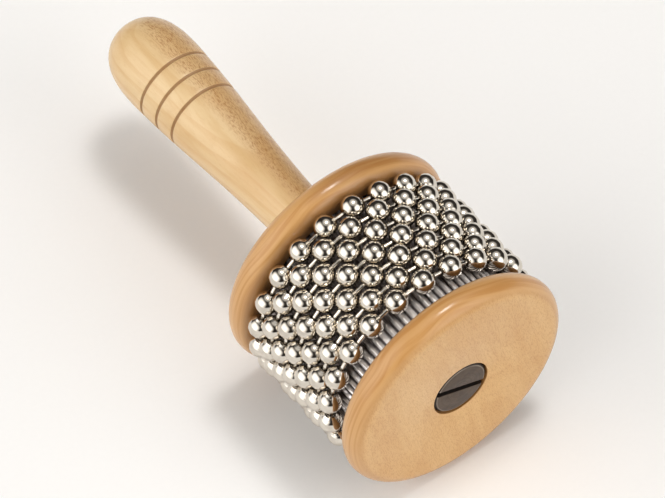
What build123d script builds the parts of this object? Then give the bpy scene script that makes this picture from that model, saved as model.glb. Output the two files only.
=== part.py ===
"""A small hand cabasa: loops of ball chain round a corrugated drum, between two flanges, on a turned handle.

The instrument lies on the rims of its two flanges. Its axis runs along +Y, from the free front face
at -Y to the domed end of the handle at +Y, and the origin is on the surface below its middle.
"""
import os
from math import cos, floor, pi, radians, sin, sqrt

from build123d import *

# Head: two turned flanges with fully rounded rims, and the drum between them
flange_radius = 29.0
flange_thickness = 7.2
drum_length = 33.8

# Handle: slim neck, thick belly and a domed end
handle_length = 75.0
shoulder_width = 0.8
grip_station = 30.0
grip_radius = 7.8
belly_radius = 9.95
belly_rise = 7.6
belly_rise_drop = 0.33
dome_length = 14.8
dome_power = 2.6
groove_count = 3
groove_from_tip = 18.8
groove_pitch = 5.3
groove_width = 0.95
groove_depth = 0.5

# Spigot of the handle, through the back flange and into the core
spigot_radius = 5.5
spigot_depth = 8.0
spigot_fit = 0.1
spigot_end_gap = 0.2

# Screw that pulls the head together, and the insert that it is driven into
head_radius = 7.1
head_thickness = 2.5
head_recess = 0.1
head_chamfer = 0.6
head_clearance = 0.25
slot_width = 1.4
slot_depth = 1.3
slot_angle = -22.0
shank_radius = 3.0
shank_clearance = 0.3
thread_clearance = 0.05
screw_overrun = 0.8
insert_wall = 0.95
insert_length = 12.0
insert_fit = 0.05
drill_overrun = 4.0

# Corrugated sleeve, whose ends sit in a groove of each flange
corrugation_count = 72
corrugation_depth = 0.6
sheet_thickness = 0.4
sleeve_seat_depth = 0.8
sleeve_seat_clearance = 0.15
core_fit = 0.1

# Ball chains: loops that lie in each other's gaps, pushed against the back flange
ball_radius = 2.75
ball_wall = 0.35
ball_hole_radius = 0.75
balls_per_loop = 22
rim_cover = 0.05
loop_slack = 0.35
loop_end_gap = 0.1
nest_gap = 0.12
loop_phase = 9.85
pin_radius = 0.5
pin_head_radius = 0.95
pin_head_length = 0.55
pin_head_clearance = 0.15

# Stations along the axis, measured back from the front face
core_front = flange_thickness
core_back = core_front + drum_length
shoulder = core_back + flange_thickness
handle_tip = shoulder + handle_length
front_y = -handle_tip / 2
axis_height = flange_radius

profile_plane = Plane(origin=(0, front_y, axis_height), x_dir=(0, 1, 0), z_dir=(1, 0, 0))
turning_axis = Axis((0, front_y, axis_height), (0, 1, 0))


def cross_plane(station):
    """Plane square to the axis, seen from the front, with its Y axis up."""
    return Plane(origin=(0, front_y + station, axis_height), x_dir=(1, 0, 0), z_dir=(0, -1, 0))


def save(part, name):
    """Labels a finished piece and writes it to its own file."""
    part.label = name
    export_step(part, f"parts/{name}.step")


# Radii that follow from the sizes above
flat_radius = flange_radius - flange_thickness / 2
crest_radius = flange_radius - rim_cover - 2 * ball_radius - loop_slack
valley_radius = crest_radius - corrugation_depth
core_radius = valley_radius - sheet_thickness - core_fit
socket_radius = spigot_radius + spigot_fit
shank_hole_radius = shank_radius + shank_clearance
counterbore_radius = head_radius + head_clearance
head_seat = head_recess + head_thickness
insert_bore = shank_radius + thread_clearance
insert_radius = insert_bore + insert_wall
pocket_radius = insert_radius + insert_fit

# Stations that follow from the sizes above
spigot_tip = core_back - spigot_depth
insert_end = spigot_tip + insert_length
screw_end = insert_end + screw_overrun
drill_end = screw_end + drill_overrun
seat_inner = valley_radius - sheet_thickness - sleeve_seat_clearance
seat_outer = crest_radius + sleeve_seat_clearance
seat_width = seat_outer - seat_inner
seat_middle = (seat_inner + seat_outer) / 2

os.makedirs("parts", exist_ok=True)

# Front flange, counterbored for the screw head
with BuildPart() as front_flange:
    with BuildSketch(profile_plane):
        with BuildLine():
            front_rim = ThreePointArc(
                (core_front, flat_radius), (flange_thickness / 2, flange_radius), (0, flat_radius)
            )
            Polyline(
                front_rim @ 1,
                (0, counterbore_radius),
                (head_seat, counterbore_radius),
                (head_seat, shank_hole_radius),
                (core_front, shank_hole_radius),
                front_rim @ 0,
            )
        make_face()
        with Locations((core_front - sleeve_seat_depth / 2, seat_middle)):
            Rectangle(sleeve_seat_depth, seat_width, mode=Mode.SUBTRACT)
    revolve(axis=turning_axis)
save(front_flange.part, "front_flange")

# Back flange, bored for the handle's spigot
with BuildPart() as back_flange:
    with BuildSketch(profile_plane):
        with BuildLine():
            back_rim = ThreePointArc(
                (shoulder, flat_radius),
                (core_back + flange_thickness / 2, flange_radius),
                (core_back, flat_radius),
            )
            Polyline(back_rim @ 1, (core_back, socket_radius), (shoulder, socket_radius), back_rim @ 0)
        make_face()
        with Locations((core_back + sleeve_seat_depth / 2, seat_middle)):
            Rectangle(sleeve_seat_depth, seat_width, mode=Mode.SUBTRACT)
    revolve(axis=turning_axis)
save(back_flange.part, "back_flange")

# Core of the drum, clamped between the flanges
with BuildPart() as drum_core:
    with BuildSketch(cross_plane(core_front)):
        Circle(core_radius)
        Circle(shank_hole_radius, mode=Mode.SUBTRACT)
    extrude(amount=-drum_length)
    with BuildSketch(cross_plane(core_back)):
        Circle(socket_radius)
    extrude(amount=spigot_depth + spigot_end_gap, mode=Mode.SUBTRACT)
save(drum_core.part, "drum_core")

# Corrugated sleeve round the core: each wave is a crest arc and a valley arc
wave_angle = 2 * pi / corrugation_count


def wave_outline(inset):
    """Draws the closed wavy outline of one side of the sheet, moved inwards by inset."""
    middle_radius = (crest_radius + valley_radius) / 2 - inset

    def point(radius, turns):
        return (radius * cos(turns * wave_angle), radius * sin(turns * wave_angle))

    for wave in range(corrugation_count):
        start = point(middle_radius, wave - 0.25)
        middle = point(middle_radius, wave + 0.25)
        end = point(middle_radius, wave + 0.75)
        ThreePointArc(start, point(crest_radius - inset, wave), middle)
        ThreePointArc(middle, point(valley_radius - inset, wave + 0.5), end)


with BuildPart() as corrugated_sleeve:
    with BuildSketch(cross_plane(core_front - sleeve_seat_depth)):
        with BuildLine():
            wave_outline(0)
        make_face()
        with BuildLine():
            wave_outline(sheet_thickness)
        make_face(mode=Mode.SUBTRACT)
    extrude(amount=-(drum_length + 2 * sleeve_seat_depth))
save(corrugated_sleeve.part, "corrugated_sleeve")

# Handle: the outline from the shoulder to the tip, with the spigot in front of it
belly = handle_tip - dome_length
neck_point = (shoulder, spigot_radius + shoulder_width)
grip_point = (shoulder + grip_station, grip_radius)
rise_point = (belly - belly_rise, belly_radius - belly_rise_drop)
belly_point = (belly, belly_radius)
grip_curve = Spline(neck_point, grip_point, rise_point, belly_point)


def dome_point(share):
    """Point of the domed end at a share of its length, on a superellipse."""
    return (belly + share * dome_length, belly_radius * (1 - share**dome_power) ** (1 / dome_power))


with BuildPart() as handle:
    with BuildSketch(profile_plane):
        with BuildLine():
            add(grip_curve)
            dome_curve = Spline(
                belly_point,
                dome_point(0.35),
                dome_point(0.65),
                dome_point(0.88),
                (handle_tip, 0),
                tangents=(grip_curve % 1, (0, -1)),
            )
            Polyline(
                (handle_tip, 0),
                (drill_end, 0),
                (drill_end, shank_hole_radius),
                (insert_end, shank_hole_radius),
                (insert_end, pocket_radius),
                (spigot_tip, pocket_radius),
                (spigot_tip, spigot_radius),
                (shoulder, spigot_radius),
                neck_point,
            )
        make_face()
    revolve(axis=turning_axis)
    with BuildSketch(profile_plane):
        for groove in range(groove_count):
            station = handle_tip - groove_from_tip - groove * groove_pitch
            surface = grip_curve.find_intersection_points(Axis((station, 0, 0), (0, 1, 0)))[0].Y
            with BuildLine():
                Polyline(
                    (station, surface - groove_depth),
                    (station + groove_width, surface + groove_depth),
                    (station - groove_width, surface + groove_depth),
                    close=True,
                )
            make_face()
    revolve(axis=turning_axis, mode=Mode.SUBTRACT)
save(handle.part, "handle")

# Threaded insert in the end of the spigot
with BuildPart() as threaded_insert:
    with BuildSketch(cross_plane(spigot_tip)):
        Circle(insert_radius)
        Circle(insert_bore, mode=Mode.SUBTRACT)
    extrude(amount=-insert_length)
save(threaded_insert.part, "threaded_insert")

# Slotted screw with a large flat head
with BuildPart() as assembly_screw:
    with BuildSketch(cross_plane(head_recess)):
        Circle(head_radius)
    extrude(amount=-head_thickness)
    chamfer(assembly_screw.edges().group_by(Axis.Y)[0], length=head_chamfer)
    with BuildSketch(cross_plane(head_seat)):
        Circle(shank_radius)
    extrude(amount=-(screw_end - head_seat))
    with BuildSketch(cross_plane(head_recess)):
        Rectangle(2 * head_radius, slot_width, rotation=slot_angle)
    extrude(amount=-slot_depth, mode=Mode.SUBTRACT)
save(assembly_screw.part, "assembly_screw")

# One ball and one pin of the chain, about their own middles: X outwards, Y along the chain
half_step = pi / balls_per_loop
loop_radius = crest_radius + loop_slack + ball_radius
chain_pitch = 2 * loop_radius * sin(half_step)
inner_radius = ball_radius - ball_wall
pin_reach = sqrt((inner_radius - pin_head_clearance) ** 2 - pin_head_radius**2)
pin_half_length = chain_pitch / 2 - pin_reach + pin_head_length

with BuildPart() as ball:
    Sphere(ball_radius)
    Sphere(inner_radius, mode=Mode.SUBTRACT)
    for side in (1, -1):
        towards_next = (-sin(half_step), side * cos(half_step), 0)
        with BuildSketch(Plane(origin=(0, 0, 0), z_dir=towards_next)):
            Circle(ball_hole_radius)
        extrude(amount=2 * ball_radius, mode=Mode.SUBTRACT)

with BuildPart() as pin:
    with BuildSketch():
        with BuildLine():
            Polyline(
                (0, -pin_half_length),
                (pin_head_radius, -pin_half_length),
                (pin_head_radius, -pin_half_length + pin_head_length),
                (pin_radius, -pin_half_length + pin_head_length),
                (pin_radius, pin_half_length - pin_head_length),
                (pin_head_radius, pin_half_length - pin_head_length),
                (pin_head_radius, pin_half_length),
                (0, pin_half_length),
                close=True,
            )
        make_face()
    revolve(axis=Axis.Y)

# Loops of chain, numbered from the back flange, each half a pitch round from the one before
ball_step = 360 / balls_per_loop
stagger = loop_radius * sin(half_step / 2) * 2
loop_pitch = sqrt((2 * ball_radius + nest_gap) ** 2 - stagger**2)
first_loop = core_back - loop_end_gap - ball_radius
loop_count = floor((first_loop - core_front - ball_radius - loop_end_gap) / loop_pitch) + 1

for index in range(loop_count):
    loop_plane = cross_plane(first_loop - index * loop_pitch)
    start = loop_phase + (index % 2) * ball_step / 2
    with BuildPart(loop_plane) as chain_balls:
        with PolarLocations(loop_radius, balls_per_loop, start_angle=start):
            add(ball.part)
    save(chain_balls.part, f"chain_{index + 1}_balls")
    with BuildPart(loop_plane) as chain_links:
        with PolarLocations(loop_radius * cos(half_step), balls_per_loop, start_angle=start + ball_step / 2):
            add(pin.part)
    save(chain_links.part, f"chain_{index + 1}_links")
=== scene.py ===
"""Looks of a small hand cabasa: beech head and handle, seven loops of nickel ball chain, and a studio.

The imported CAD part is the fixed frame. The instrument's axis runs along +Y at AXIS_HEIGHT, and a
station is a distance behind its front face. Lengths are written in millimetres times MM.
"""

import logging
import math
from contextlib import contextmanager
from dataclasses import dataclass
from enum import Enum
from typing import Callable, Iterator, Sequence, Union

import bmesh
import bpy
from mathutils import Matrix, Quaternion, Vector


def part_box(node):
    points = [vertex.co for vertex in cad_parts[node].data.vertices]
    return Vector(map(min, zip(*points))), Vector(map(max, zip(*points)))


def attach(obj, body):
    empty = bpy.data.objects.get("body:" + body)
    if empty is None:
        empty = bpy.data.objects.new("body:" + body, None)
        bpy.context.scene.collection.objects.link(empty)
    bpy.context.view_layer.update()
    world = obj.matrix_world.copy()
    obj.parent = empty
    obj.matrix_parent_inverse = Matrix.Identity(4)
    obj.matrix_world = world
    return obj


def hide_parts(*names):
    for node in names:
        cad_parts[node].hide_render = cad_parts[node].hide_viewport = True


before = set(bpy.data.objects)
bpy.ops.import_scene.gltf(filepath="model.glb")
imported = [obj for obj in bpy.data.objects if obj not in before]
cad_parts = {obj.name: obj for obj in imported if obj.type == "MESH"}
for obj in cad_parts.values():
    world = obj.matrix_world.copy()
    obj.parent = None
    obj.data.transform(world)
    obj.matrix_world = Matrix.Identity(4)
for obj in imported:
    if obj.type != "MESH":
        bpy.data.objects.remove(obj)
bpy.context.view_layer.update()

LOG = logging.getLogger("cabasa")
MM = 0.001
PER_MM = 1.0 / MM
AXIS_HEIGHT = 29.0 * MM
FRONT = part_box("front_flange")[0].y
BODY = "head_and_handle"
MERGE = 0.004 * MM  # Corners closer than this are made one.
NEAR = 0.02 * MM  # A corner this close to a place is at it.
SQUARE_ON = 0.9  # A normal with more than this along an axis looks that way.
SAME_TURN = 0.01  # Shares of a wave that differ by less are the same.
SMOOTH_ANGLE = math.radians(32.0)
MIX_SHARE, MIX_UNDER, MIX_OVER, MIX_RESULT = 0, 6, 7, 2  # Sockets of a Mix node that mixes colours.

Axis = tuple[float, float, float]
Colour = tuple[float, float, float, float]
Piece = bpy.types.Object
Material = bpy.types.Material
Socket = bpy.types.NodeSocket
Number = Union[float, Socket]
Paint = Union[Socket, Colour]


def srgb(red: int, green: int, blue: int) -> Colour:
    """Turns a screen colour into the linear colour that a shader takes.

    Args:
        red: Red from 0 to 255.
        green: Green from 0 to 255.
        blue: Blue from 0 to 255.

    Returns:
        The linear colour, opaque.
    """
    def linear(part: float) -> float:
        """Undoes the screen curve for one channel."""
        return part / 12.92 if part <= 0.04045 else ((part + 0.055) / 1.055) ** 2.4

    return (linear(red / 255), linear(green / 255), linear(blue / 255), 1.0)


def at(station: float) -> float:
    """Gives the Y of a station, both in metres."""
    return FRONT + station


def off_axis(point: Vector) -> float:
    """Gives a point's distance from the instrument's axis."""
    return math.hypot(point.x, point.z - AXIS_HEIGHT)


class Facing(Enum):
    """Which way a flat side of a flange looks."""

    FRONT = -1
    BACK = 1


class Blend(Enum):
    """Ways in which one colour is laid on another."""

    MIX = "MIX"
    MULTIPLY = "MULTIPLY"


class Part(Enum):
    """What is picked on an open piece."""

    VERT = "corners"
    EDGE = "edges"
    FACE = "faces"


class Bench:
    """The modelling bench: selects and shapes one piece at a time with Blender's own operators."""

    @staticmethod
    def clear() -> None:
        """Deselects every object."""
        bpy.ops.object.select_all(action="DESELECT")

    @staticmethod
    def hold(piece: Piece) -> None:
        """Makes a piece the only selected object and the active one.

        Args:
            piece: The piece.
        """
        Bench.clear()
        piece.select_set(True)
        bpy.context.view_layer.objects.active = piece

    @staticmethod
    def name(name: str) -> Piece:
        """Names the object that was just added and puts its place into its mesh.

        Args:
            name: Name of the piece and of its mesh.

        Returns:
            The new piece, at the origin, unturned and unscaled.
        """
        piece = bpy.context.active_object
        piece.name = piece.data.name = name
        bpy.ops.object.transform_apply(location=True, rotation=True, scale=True)
        return piece

    @staticmethod
    def cylinder(name: str, facets: int, radius: float, start: float, end: float, fill: str = "NGON") -> Piece:
        """Adds a cylinder on the instrument's axis.

        Args:
            name: Name of the piece.
            facets: Number of its sides.
            radius: Its radius.
            start: Station of its front end.
            end: Station of its back end.
            fill: NGON for closed ends, NOTHING for open ones.

        Returns:
            The new piece.
        """
        Bench.clear()
        bpy.ops.mesh.primitive_cylinder_add(
            vertices=facets, radius=radius, depth=end - start, end_fill_type=fill,
            location=(0, at((start + end) / 2), AXIS_HEIGHT), rotation=(math.pi / 2, 0, 0))
        return Bench.name(name)

    @staticmethod
    @contextmanager
    def edit(piece: Piece) -> Iterator[None]:
        """Opens a piece in edit mode with all of it selected, and closes it again.

        Args:
            piece: The piece.

        Yields:
            Nothing, while the piece is open.
        """
        Bench.hold(piece)
        bpy.ops.object.mode_set(mode="EDIT")
        bpy.ops.mesh.select_all(action="SELECT")
        yield
        bpy.ops.object.mode_set(mode="OBJECT")

    @staticmethod
    def pick(piece: Piece, part: Part, test: Callable[..., bool]) -> None:
        """Selects the corners, edges or faces of a piece in edit mode that pass a test.

        Args:
            piece: The piece that is open.
            part: Which of them are tested.
            test: Tells whether one of them is wanted.
        """
        bpy.ops.mesh.select_mode(type=part.name)
        bpy.ops.mesh.select_all(action="DESELECT")
        shape = bmesh.from_edit_mesh(piece.data)
        for item in {Part.VERT: shape.verts, Part.EDGE: shape.edges, Part.FACE: shape.faces}[part]:
            if test(item):
                item.select_set(True)
        shape.select_flush_mode()
        bmesh.update_edit_mesh(piece.data)

    @staticmethod
    def pick_end(piece: Piece, level: float) -> None:
        """Selects the round end of an open piece that lies at a Y."""
        Bench.pick(piece, Part.FACE,
                   lambda face: len(face.verts) > 4 and abs(face.calc_center_median().y - level) < NEAR)

    @staticmethod
    def pick_rims(piece: Piece) -> None:
        """Selects the edges of an open piece that bound a hole."""
        Bench.pick(piece, Part.EDGE, lambda edge: edge.is_boundary)

    @staticmethod
    def push(move: Sequence[float]) -> None:
        """Extrudes what is selected."""
        bpy.ops.mesh.extrude_region_move(TRANSFORM_OT_translate={"value": move})

    @staticmethod
    def widen(ratio: float, centre: Vector) -> None:
        """Scales what is selected square to the Y axis, about a centre."""
        bpy.ops.transform.resize(value=(ratio, 1, ratio), center_override=centre)

    @staticmethod
    def close() -> None:
        """Merges doubles and turns the faces of the open piece outwards."""
        bpy.ops.mesh.select_mode(type="VERT")
        bpy.ops.mesh.select_all(action="SELECT")
        bpy.ops.mesh.remove_doubles(threshold=MERGE)
        bpy.ops.mesh.normals_make_consistent(inside=False)

    @staticmethod
    def smooth(piece: Piece) -> None:
        """Shades a piece smooth except at its sharp edges."""
        Bench.hold(piece)
        bpy.ops.object.shade_smooth_by_angle(angle=SMOOTH_ANGLE)

    @staticmethod
    def modify(piece: Piece, kind: str, **settings: object) -> None:
        """Gives a piece a modifier and applies it.

        Args:
            piece: The piece.
            kind: Type of the modifier.
            settings: Values of the modifier's own properties.
        """
        Bench.hold(piece)
        bpy.ops.object.modifier_add(type=kind)
        modifier = piece.modifiers[0]
        for name, value in settings.items():
            setattr(modifier, name, value)
        bpy.context.view_layer.update()
        bpy.ops.object.modifier_apply(modifier=modifier.name)

    @staticmethod
    def scrap(piece: Piece) -> None:
        """Removes a helper object."""
        bpy.data.objects.remove(piece, do_unlink=True)


class Tree:
    """Adds and links the nodes of one material, lamp or room."""

    def __init__(self, tree: bpy.types.NodeTree) -> None:
        """Takes the tree that the nodes go into."""
        self.nodes, self.links = tree.nodes, tree.links

    def add(self, kind: str) -> bpy.types.Node:
        """Adds a shader node of a kind."""
        return self.nodes.new(f"ShaderNode{kind}")

    def feed(self, socket: Socket, value: Union[Number, Sequence[float]]) -> None:
        """Links a socket to another, or sets its value.

        Args:
            socket: The socket that takes the value.
            value: Another node's socket, a number, a vector or a colour.
        """
        if isinstance(value, Socket):
            self.links.new(value, socket)
        else:
            socket.default_value = value

    def operate(self, kind: str, first: Number, second: Number = 0.0) -> Socket:
        """Adds a Math node for one or two numbers.

        Args:
            kind: Name of the operation.
            first: The first number.
            second: The second number, where the operation takes one.

        Returns:
            The result.
        """
        node = self.add("Math")
        node.operation = kind
        self.feed(node.inputs[0], first)
        self.feed(node.inputs[1], second)
        return node.outputs[0]

    def times(self, first: Number, second: Number) -> Socket:
        """Multiplies two numbers."""
        return self.operate("MULTIPLY", first, second)

    def plus(self, first: Number, second: Number) -> Socket:
        """Adds two numbers."""
        return self.operate("ADD", first, second)

    def minus(self, first: Number, second: Number) -> Socket:
        """Takes the second number from the first."""
        return self.operate("SUBTRACT", first, second)

    def reach(self, first: Socket, second: Socket) -> Socket:
        """Gives the distance from nought of a point with two coordinates."""
        return self.operate("SQRT", self.plus(self.times(first, first), self.times(second, second)))

    def dot(self, vector: Socket, axis: Sequence[float]) -> Socket:
        """Measures a vector along an axis.

        Args:
            vector: The vector.
            axis: The axis, whose length scales the result.

        Returns:
            The measure.
        """
        node = self.add("VectorMath")
        node.operation = "DOT_PRODUCT"
        self.feed(node.inputs[0], vector)
        self.feed(node.inputs[1], axis)
        return node.outputs["Value"]

    def noise(self, places: Sequence[Socket], waves: Sequence[float], detail: float = 2.0,
              rough: float = 0.5) -> Socket:
        """Adds a Noise texture that is stretched along each coordinate by itself.

        Args:
            places: The three coordinates that it reads.
            waves: Waves in a unit of each.
            detail: Its finer layers.
            rough: How strong the finer layers are.

        Returns:
            A value about 0.5.
        """
        spot, node = self.add("CombineXYZ"), self.add("TexNoise")
        for socket, place, count in zip(spot.inputs, places, waves):
            self.feed(socket, self.times(place, count))
        self.feed(node.inputs["Vector"], spot.outputs[0])
        for name, value in (("Scale", 1.0), ("Detail", detail), ("Roughness", rough)):
            self.feed(node.inputs[name], value)
        return node.outputs["Fac"]

    def step(self, value: Socket, low: float, high: float, start: float = 0.0, end: float = 1.0) -> Socket:
        """Maps a value smoothly from one range to another, and holds it there.

        Args:
            value: What is mapped.
            low: Value at which the result is start.
            high: Value at which the result is end.
            start: Result below low.
            end: Result above high.

        Returns:
            The mapped value.
        """
        node = self.add("MapRange")
        node.interpolation_type = "SMOOTHSTEP"
        self.feed(node.inputs["Value"], value)
        for name, number in zip(("From Min", "From Max", "To Min", "To Max"), (low, high, start, end)):
            self.feed(node.inputs[name], number)
        return node.outputs["Result"]

    def lay(self, share: Number, under: Paint, over: Paint, blend: Blend = Blend.MIX) -> Socket:
        """Lays one colour on another.

        Args:
            share: How much of the upper colour shows.
            under: The lower colour.
            over: The upper colour.
            blend: How it is laid on.

        Returns:
            The colour that results.
        """
        node = self.add("Mix")
        node.data_type, node.blend_type, node.clamp_factor = "RGBA", blend.value, True
        for k, value in ((MIX_SHARE, share), (MIX_UNDER, under), (MIX_OVER, over)):
            self.feed(node.inputs[k], value)
        return node.outputs[MIX_RESULT]


class Nodes(Tree):
    """The nodes of one material, all of them on the piece's own coordinates."""

    def __init__(self, name: str) -> None:
        """Starts a material with its shader.

        Args:
            name: Name of the material.
        """
        self.material = bpy.data.materials.new(name)
        self.material.use_nodes = True
        super().__init__(self.material.node_tree)
        self.shader = self.nodes["Principled BSDF"]
        self.place = self.add("TexCoord")

    def sheen(self, **values: float) -> None:
        """Sets constants on the shader's own sockets, named in words joined by underscores."""
        for name, value in values.items():
            self.shader.inputs[name.replace("_", " ").title().replace("Ior", "IOR")].default_value = value

    def along(self, source: str, axis: Axis, scale: float = 1.0) -> Socket:
        """Measures the surface's place (Object) or normal (Normal) along an axis, times a scale."""
        return self.dot(self.place.outputs[source], Vector(axis) * scale)

    def spot(self, height: float = 0.0) -> list[Socket]:
        """Gives the surface's X, Y and Z in millimetres, Z above a height in metres."""
        x, y, z = (self.along("Object", axis, PER_MM) for axis in ((1, 0, 0), (0, 1, 0), (0, 0, 1)))
        return [x, y, self.minus(z, height * PER_MM)]

    def bump(self, height: Socket, depth: float, strength: float = 0.5) -> None:
        """Gives the shader a bump of a true depth.

        Args:
            height: The pattern, from 0 at its bottom to 1 at its top.
            depth: Distance from bottom to top in metres.
            strength: How much of it shows.
        """
        node = self.add("Bump")
        for name, value in (("Strength", strength), ("Distance", depth), ("Height", height)):
            self.feed(node.inputs[name], value)
        self.put("Normal", node.outputs["Normal"])

    def put(self, name: str, value: Socket) -> None:
        """Links a result to one of the shader's sockets."""
        self.feed(self.shader.inputs[name], value)


class Grain:
    """Coordinates of one piece of wood in millimetres: along its grain, across it, and along its rays."""

    SPREAD = (0.2, 0.8)  # Noise between which a bend goes from one side to the other.
    RISE = 1.4  # Sway along the rays, in sways across them.
    WAVER = 1.4  # How far a year's ring wavers, in millimetres.
    LINE_START, LINE_TOP = 0.5, 0.94  # Shares of a year at which its dark line starts and is darkest.
    SMALL_FLECKS = 0.85  # Strength of the small dashes.

    def __init__(self, wood: Nodes, grain: Axis, ray: Axis, sway: float) -> None:
        """Measures the place along the three directions and bends them a little.

        Args:
            wood: Nodes of the material.
            grain: Direction of the fibres.
            ray: Direction outwards from the pith.
            sway: How far the fibres wander to a side, in millimetres.
        """
        self.wood = wood
        self.length = wood.along("Object", grain, PER_MM)
        self.width = wood.along("Object", tuple(Vector(grain).cross(Vector(ray)).normalized()), PER_MM)
        self.depth = wood.along("Object", ray, PER_MM)
        bend = self.noise(0.022, 0.05, 0.05)
        rise = self.RISE * sway
        self.width = wood.plus(self.width, wood.step(bend, *self.SPREAD, -sway, sway))
        self.depth = wood.plus(self.depth, wood.step(bend, *self.SPREAD, -rise, rise))

    def noise(self, along: float, across: float, into: float, detail: float = 1.0,
              rough: float = 0.5) -> Socket:
        """Adds noise with so many waves in a millimetre along the grain, across it and along the rays."""
        return self.wood.noise((self.length, self.width, self.depth), (along, across, into), detail, rough)

    def years(self, pith: float, ring_width: float, taper: float) -> Socket:
        """Draws the thin dark line that ends each year's growth.

        Args:
            pith: Distance of the pith behind the axis.
            ring_width: Width of a year's growth.
            taper: How fast the rings widen along the grain.

        Returns:
            1 on a line and 0 between lines.
        """
        wood = self.wood
        out = wood.plus(wood.plus(self.depth, pith), wood.times(self.length, taper))
        waver = wood.step(self.noise(0.03, 0.16, 0.16), *self.SPREAD, 0.0, self.WAVER)
        ring = wood.plus(wood.reach(out, self.width), waver)
        year = wood.operate("FRACT", wood.operate("DIVIDE", ring, ring_width))
        return wood.times(wood.step(year, self.LINE_START, self.LINE_TOP),
                          wood.step(year, self.LINE_TOP, 1.0, 1.0, 0.0))

    def flecks(self, low: float, high: float) -> Socket:
        """Draws the ends of the rays as short dashes of two sizes.

        Args:
            low: Noise at which a dash starts to show.
            high: Noise at which it is full.

        Returns:
            1 in a dash and 0 between dashes.
        """
        wood = self.wood
        large, small = (wood.step(self.noise(*waves), low, high)
                        for waves in ((0.8, 4.4, 0.1), (1.7, 7.0, 0.2)))
        return wood.operate("MAXIMUM", large, wood.times(small, self.SMALL_FLECKS))


@dataclass(frozen=True)
class Beech:
    """Lacquered beech, with its grain, its rays and its colours chosen for one piece.

    The rays are thin sheets that run outwards from the pith, so they show as short dark flecks where
    the surface faces along them, and hardly at all elsewhere.
    """

    name: str
    grain: Axis
    ray: Axis
    sway: float = 1.2
    pith: float = 46.0
    ring_width: float = 2.6
    ring_taper: float = 0.05
    ring_depth: float = 0.22
    fleck_depth: float = 0.62
    fleck_low: float = 0.53
    fleck_high: float = 0.66
    fleck_turn: float = 0.7
    fleck_ease: float = 0.24
    pore_depth: float = 0.14
    amber_share: float = 0.0
    end_share: float = 0.25
    end_start: float = 0.45
    dark_share: float = 0.0
    lacquer: float = 1.0
    lacquered: float = 0.36
    unlacquered: float = 0.62
    pale: Colour = srgb(225, 196, 150)
    tan: Colour = srgb(213, 178, 127)
    latewood: Colour = srgb(197, 147, 86)
    fleck: Colour = srgb(158, 98, 38)
    amber: Colour = srgb(201, 153, 97)
    shaded_amber: Colour = srgb(180, 128, 72)
    streak: Colour = srgb(226, 206, 178)
    end_grain: Colour = srgb(188, 134, 73)
    darken_brown: Colour = srgb(122, 72, 28)

    def make(self) -> Material:
        """Builds the material.

        Returns:
            The finished wood.
        """
        wood = Nodes(self.name)
        grain = Grain(wood, self.grain, self.ray, self.sway)
        mottle = grain.noise(0.03, 0.11, 0.11, detail=3.0, rough=0.55)
        silk = grain.noise(0.05, 1.3, 1.3, detail=3.0, rough=0.6)
        pores = wood.step(grain.noise(0.8, 7.0, 7.0, detail=2.0), 0.55, 0.78)
        facing = wood.operate("ABSOLUTE", wood.along("Normal", self.ray))
        flecks = wood.times(grain.flecks(self.fleck_low, self.fleck_high),
                            wood.step(facing, self.fleck_turn, self.fleck_turn + self.fleck_ease))

        # The layers from below: mottle, silk, year lines, browner wood where the rays end, flecks, pores.
        colour = wood.lay(wood.step(mottle, 0.34, 0.68), self.pale, self.tan)
        colour = wood.lay(wood.step(silk, 0.42, 0.7, 0.0, 0.18), colour, self.latewood)
        years = grain.years(self.pith, self.ring_width, self.ring_taper)
        colour = wood.lay(wood.times(years, self.ring_depth), colour, self.latewood)
        colour = wood.lay(wood.step(facing, self.fleck_turn, 1.0, 0.0, self.fleck_depth * 0.6), colour,
                          self.latewood)
        colour = wood.lay(wood.times(flecks, self.fleck_depth), colour, self.fleck)
        colour = wood.lay(wood.times(pores, self.pore_depth), colour, self.fleck)
        if self.amber_share:
            # The rim: amber off the flat face, streaked, with a band of painted shade just past its edge, and
            # painted shade on the side that faces the drum.
            outwards = wood.along("Normal", self.ray)
            colour = wood.lay(wood.step(outwards, 0.6, 0.998, self.amber_share, 0.0), colour, self.amber)
            bands = grain.noise(0.03, 0.05, 1.3, detail=2.5)
            streaks = wood.times(wood.step(bands, 0.4, 0.7), wood.step(facing, 0.6, 0.98, 0.7, 0.0))
            colour = wood.lay(streaks, colour, self.streak, Blend.MULTIPLY)
            # A band of painted shade where the rim's rounding meets the flat face.
            inner = wood.times(wood.step(outwards, 0.6, 0.9), wood.step(outwards, 0.9, 0.999, 0.4, 0.0))
            colour = wood.lay(inner, colour, self.shaded_amber)
            # Painted shade: the flat side that faces the drum is darkened brown.
            colour = wood.lay(wood.step(outwards, -0.98, -0.5, 0.6, 0.0), colour, self.darken_brown)
        ends = wood.operate("ABSOLUTE", wood.along("Normal", self.grain))
        colour = wood.lay(wood.step(ends, self.end_start, 1.0, 0.0, self.end_share), colour, self.end_grain)
        # Darkens a whole piece brown: painted shade on the counterbore's walls, and a plain darker wood in the
        # grooves.
        if self.dark_share:
            colour = wood.lay(self.dark_share, colour, self.darken_brown)
        wood.put("Base Color", colour)

        shine = wood.plus(wood.times(mottle, 0.16), wood.times(flecks, 0.1))
        wood.put("Roughness", wood.plus(shine, self.lacquered if self.lacquer else self.unlacquered))
        wood.sheen(specular_ior_level=0.2, coat_weight=self.lacquer * 0.6, coat_roughness=0.14, coat_ior=1.5)
        wood.bump(wood.minus(1.0, wood.operate("MAXIMUM", flecks, wood.times(pores, 0.6))), 0.01 * MM)
        return wood.material


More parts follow.
